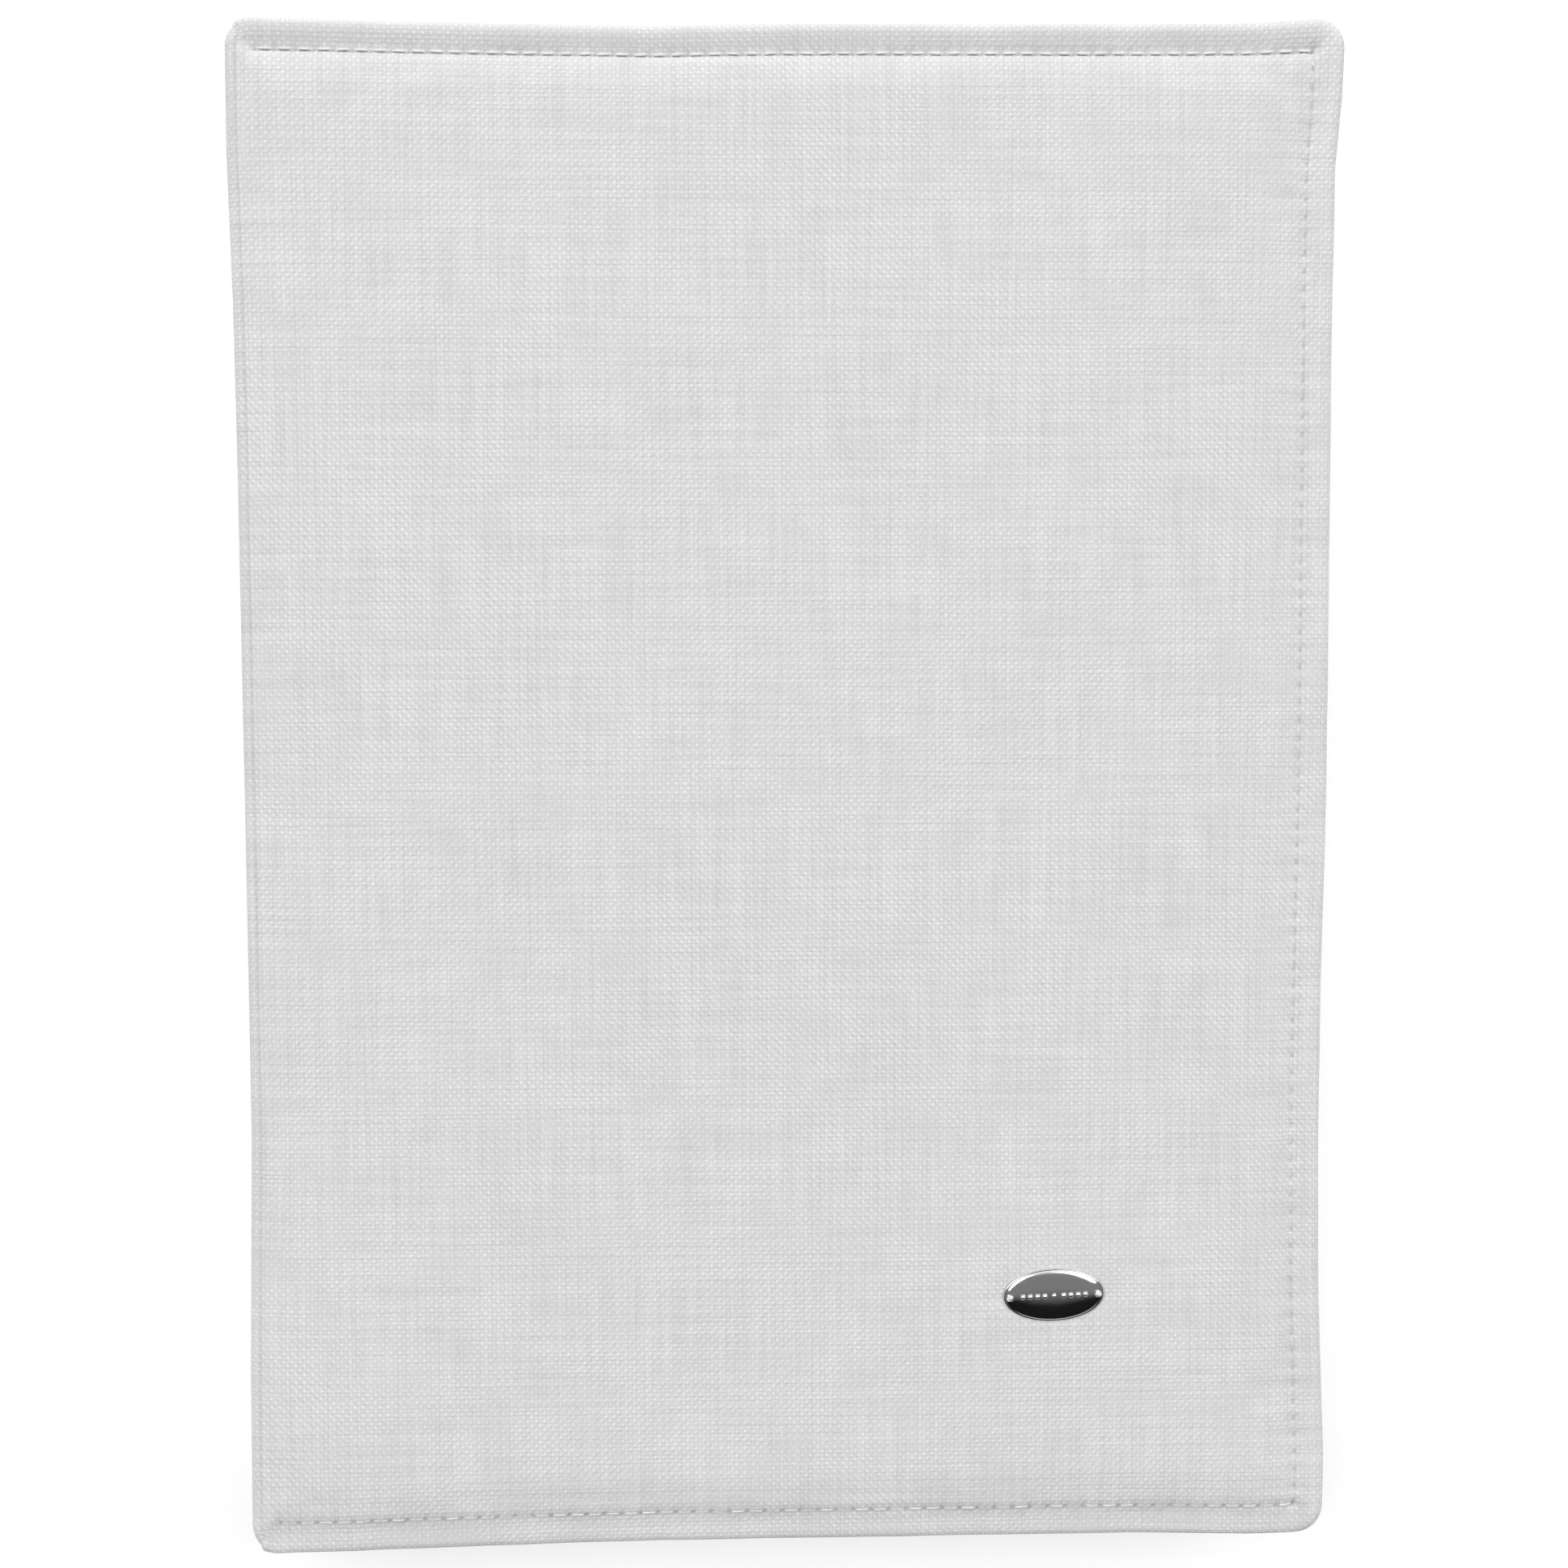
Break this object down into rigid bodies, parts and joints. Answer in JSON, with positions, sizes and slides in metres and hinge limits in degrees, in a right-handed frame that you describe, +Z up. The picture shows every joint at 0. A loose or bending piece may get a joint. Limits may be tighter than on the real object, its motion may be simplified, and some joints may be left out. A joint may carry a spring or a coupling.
{
  "type": "prayer book in a padded linen cover",
  "caption": "Closed A5 sewn book in a slip-on padded white linen cover with top-stitched edges and an oval metal name plate.",
  "frame": {"origin": "middle of the underside of the closed book, which lies on its back cover", "axes": "+X towards the fore-edge, +Y towards the head of the book, +Z up out of the front cover"},
  "size_m": [0.159, 0.223, 0.0239],
  "materials": {
    "white_linen": "plain-weave linen",
    "pocket_linen": "plain-weave linen",
    "wadding": "polyester wadding",
    "cotton_lining": "fine cotton",
    "white_thread": "sewing thread",
    "chromed_plate": "polished",
    "greyboard": "raw board",
    "case_cloth": "book cloth",
    "mull": "open-weave cotton",
    "kraft_paper": "matt",
    "linen_thread": "waxed thread",
    "end_band": "striped cotton",
    "endpaper": "matt",
    "page_paper": "matt"
  },
  "bodies": {
    "book_block": {"spine_outer_linen": "white_linen", "spine_lining": "cotton_lining", "spine_case_cloth": "case_cloth", "spine_board": "greyboard", "spine_lining_paper": "kraft_paper", "spine_mull": "mull", "sewing_thread": "linen_thread", "section_folds": "page_paper", "front_hinge_cloth": "white_linen", "back_hinge_cloth": "white_linen", "head_band": "end_band", "tail_band": "end_band", "back_flyleaf": "endpaper", "section_07": "page_paper", "section_08": "page_paper", "section_09": "page_paper", "section_10": "page_paper"},
    "front_cover": {"front_outer_linen": "white_linen", "front_wadding": "wadding", "front_lining": "cotton_lining", "front_pocket_flap": "pocket_linen", "front_topstitch": "white_thread", "front_pocket_hem_stitch": "white_thread", "front_board": "greyboard", "front_case_cloth": "case_cloth", "front_pastedown": "endpaper", "name_plate": "chromed_plate", "name_plate_ties": "white_thread"},
    "back_cover": {"back_outer_linen": "white_linen", "back_wadding": "wadding", "back_lining": "cotton_lining", "back_pocket_flap": "pocket_linen", "back_topstitch": "white_thread", "back_pocket_hem_stitch": "white_thread", "back_board": "greyboard", "back_case_cloth": "case_cloth", "back_pastedown": "endpaper"},
    "flyleaf": {"front_flyleaf": "endpaper"},
    "leaves_01": {"section_01": "page_paper"},
    "leaves_02": {"section_02": "page_paper"},
    "leaves_03": {"section_03": "page_paper"},
    "leaves_04": {"section_04": "page_paper"},
    "leaves_05": {"section_05": "page_paper"},
    "leaves_06": {"section_06": "page_paper"}
  },
  "joints": [
    {"name": "front_cover_hinge", "type": "hinge", "parent": "book_block", "child": "front_cover", "pos_m": [-0.078, 0, 0.0199], "axis": [0, -1, 0], "range_deg": [0, 179], "deforming": ["front_hinge_cloth"]},
    {"name": "back_cover_hinge", "type": "hinge", "parent": "book_block", "child": "back_cover", "pos_m": [-0.078, 0, 0.00275], "axis": [0, 1, 0], "range_deg": [0, 179], "deforming": ["back_hinge_cloth"]},
    {"name": "flyleaf_turn", "type": "hinge", "parent": "book_block", "child": "flyleaf", "pos_m": [-0.078, 0, 0.0199], "axis": [0, -1, 0], "range_deg": [0, 179]},
    {"name": "leaves_01_turn", "type": "hinge", "parent": "book_block", "child": "leaves_01", "pos_m": [-0.078, 0, 0.0199], "axis": [0, -1, 0], "range_deg": [0, 179]},
    {"name": "leaves_02_turn", "type": "hinge", "parent": "book_block", "child": "leaves_02", "pos_m": [-0.078, 0, 0.0199], "axis": [0, -1, 0], "range_deg": [0, 179]},
    {"name": "leaves_03_lift", "type": "hinge", "parent": "book_block", "child": "leaves_03", "pos_m": [-0.0758, 0, 0.01345], "axis": [0, -1, 0], "range_deg": [0, 12]},
    {"name": "leaves_04_lift", "type": "hinge", "parent": "book_block", "child": "leaves_04", "pos_m": [-0.0758, 0, 0.0124], "axis": [0, -1, 0], "range_deg": [0, 12]},
    {"name": "leaves_05_lift", "type": "hinge", "parent": "book_block", "child": "leaves_05", "pos_m": [-0.0758, 0, 0.01135], "axis": [0, -1, 0], "range_deg": [0, 12]},
    {"name": "leaves_06_lift", "type": "hinge", "parent": "book_block", "child": "leaves_06", "pos_m": [-0.0758, 0, 0.0103], "axis": [0, -1, 0], "range_deg": [0, 12]}
  ],
  "couplings": [
    {"joint": "flyleaf_turn", "follows": "front_cover_hinge", "ratio": 0.985},
    {"joint": "leaves_01_turn", "follows": "front_cover_hinge", "ratio": 0.97},
    {"joint": "leaves_02_turn", "follows": "front_cover_hinge", "ratio": 0.95},
    {"joint": "leaves_03_lift", "follows": "front_cover_hinge", "ratio": 0.06},
    {"joint": "leaves_04_lift", "follows": "front_cover_hinge", "ratio": 0.044},
    {"joint": "leaves_05_lift", "follows": "front_cover_hinge", "ratio": 0.029},
    {"joint": "leaves_06_lift", "follows": "front_cover_hinge", "ratio": 0.015}
  ]
}
